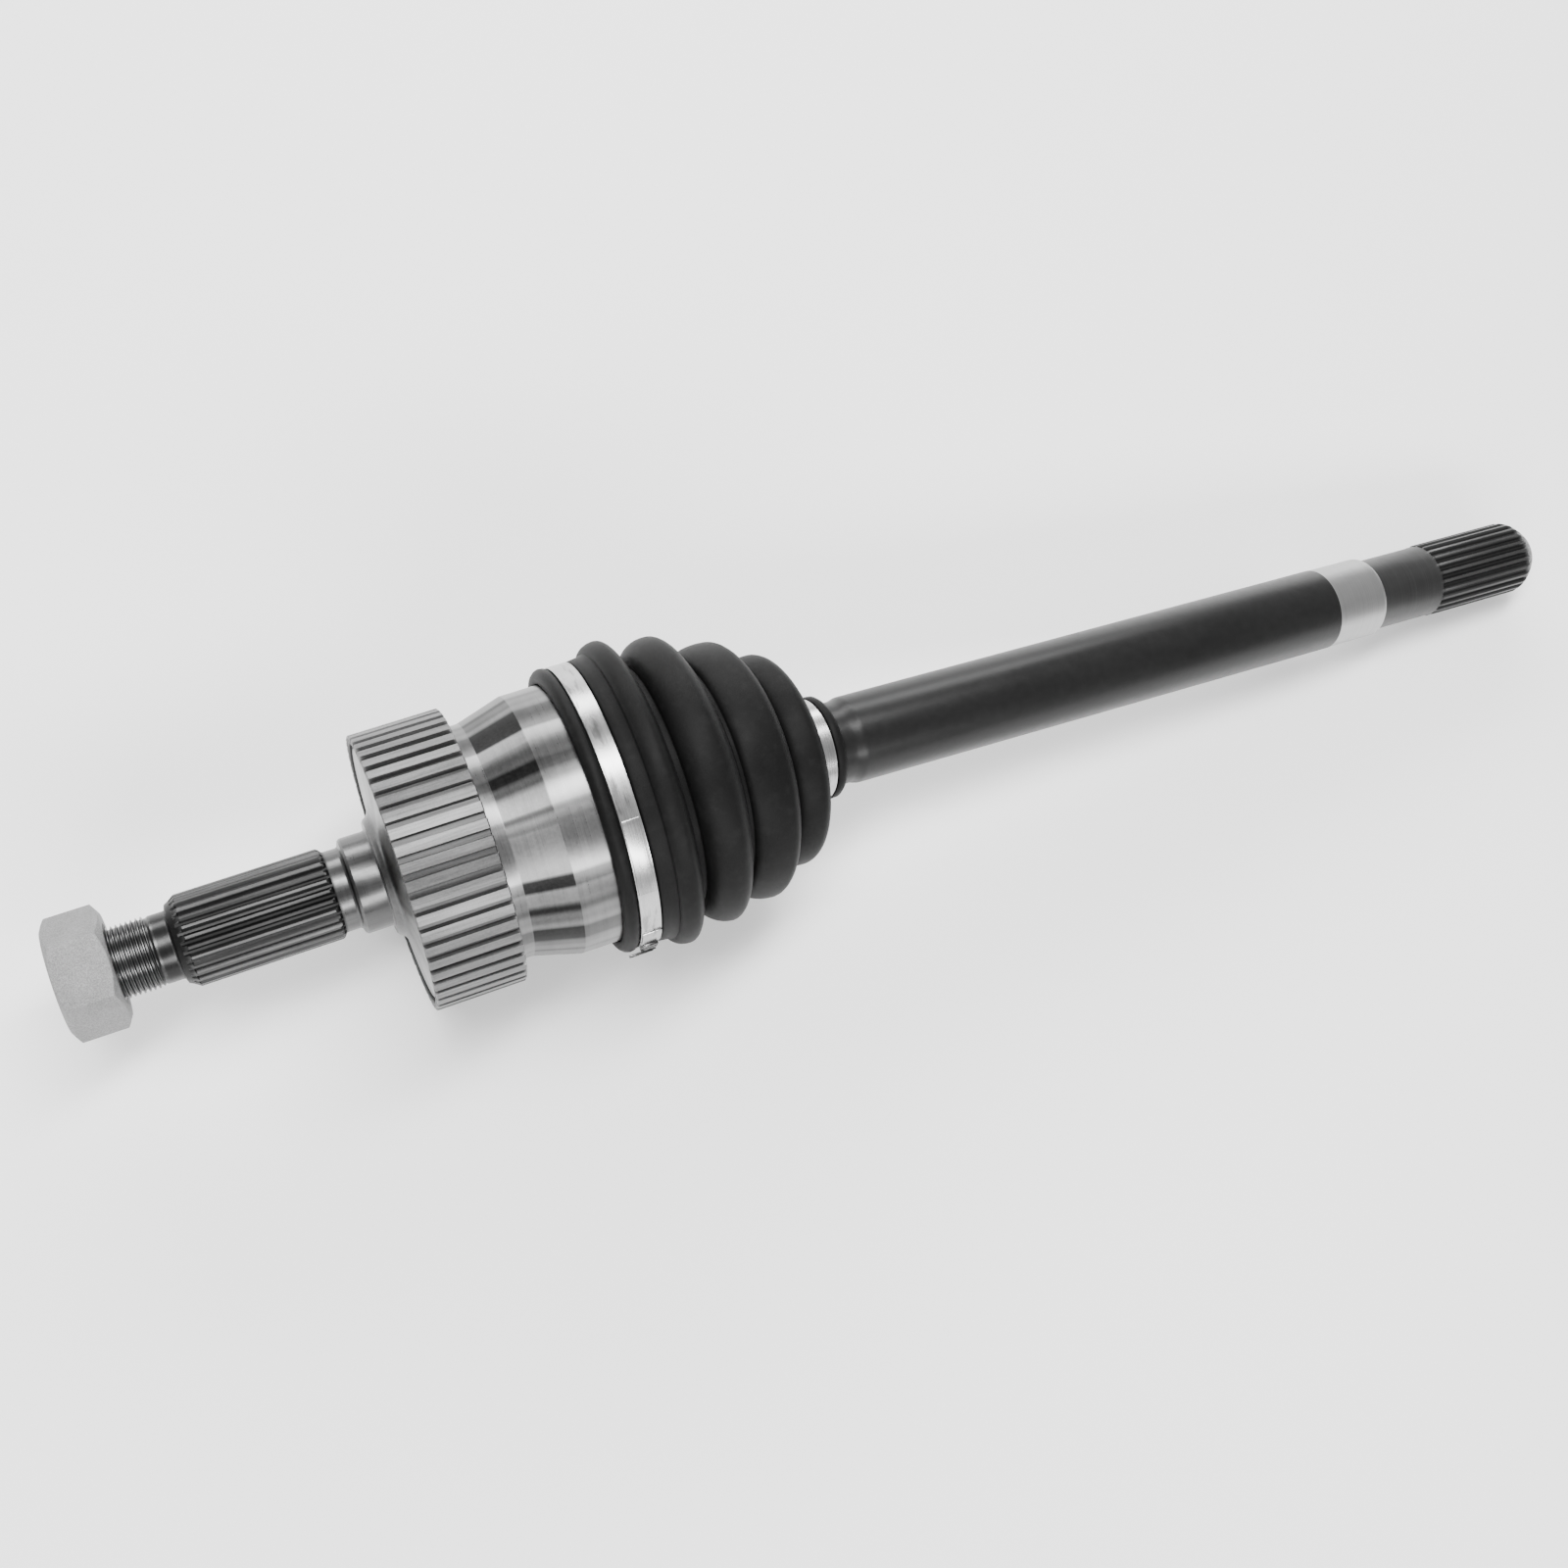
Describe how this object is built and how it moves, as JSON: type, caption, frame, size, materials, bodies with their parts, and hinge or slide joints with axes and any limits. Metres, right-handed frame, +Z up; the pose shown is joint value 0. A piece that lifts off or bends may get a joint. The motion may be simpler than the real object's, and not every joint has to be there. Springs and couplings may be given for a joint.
{
  "type": "cv axle",
  "caption": "Drive axle half shaft with an articulating constant-velocity ball joint, rubber boot, tone ring, splined stub with nut, and a splined bar end.",
  "frame": {"origin": "on the ground under the middle of the whole axle as it lies, slightly bent at the joint", "axes": "+X along the axle from the nut end to the splined end of the bar, +Z up"},
  "size_m": [0.6004, 0.1084, 0.1076],
  "materials": {
    "bell_steel": "turned, bright",
    "ring_steel": "machined, satin",
    "nut_steel": "phosphated, matt",
    "band_steel": "bright",
    "cage_steel": "ground",
    "ball_steel": "polished",
    "race_steel": "ground",
    "spring_steel": "satin",
    "bar_paint": "satin black",
    "boot_rubber": "matt"
  },
  "bodies": {
    "outer_joint": {"outer_joint_housing": "bell_steel", "abs_tone_ring": "ring_steel", "boot_clamp_large": "band_steel"},
    "cage": {"ball_cage": "cage_steel", "steel_ball_1": "ball_steel", "steel_ball_2": "ball_steel", "steel_ball_3": "ball_steel", "steel_ball_4": "ball_steel", "steel_ball_5": "ball_steel", "steel_ball_6": "ball_steel", "boot": "boot_rubber"},
    "axle_bar": {"axle_shaft": "bar_paint", "inner_race": "race_steel", "race_circlip": "spring_steel", "race_stop_ring": "spring_steel", "boot_clamp_small": "band_steel"},
    "nut": {"axle_nut": "nut_steel"}
  },
  "joints": [
    {"name": "cage_bend", "type": "hinge", "parent": "outer_joint", "child": "cage", "pos_m": [-0.13585, 0, 0.05148], "axis": [0, 1, 0], "range_deg": [-24.47, 15.53], "deforming": ["boot"]},
    {"name": "bar_bend", "type": "hinge", "parent": "cage", "child": "axle_bar", "pos_m": [-0.13585, 0, 0.05148], "axis": [0, 1, 0], "range_deg": [-24.47, 15.53], "deforming": ["boot"]},
    {"name": "nut_spin", "type": "hinge", "parent": "outer_joint", "child": "nut", "pos_m": [-0.28957, 0, 0.04079], "axis": [-0.9976, 0, -0.0694], "continuous": true}
  ],
  "couplings": [
    {"joint": "cage_bend", "follows": "bar_bend", "ratio": 1}
  ]
}
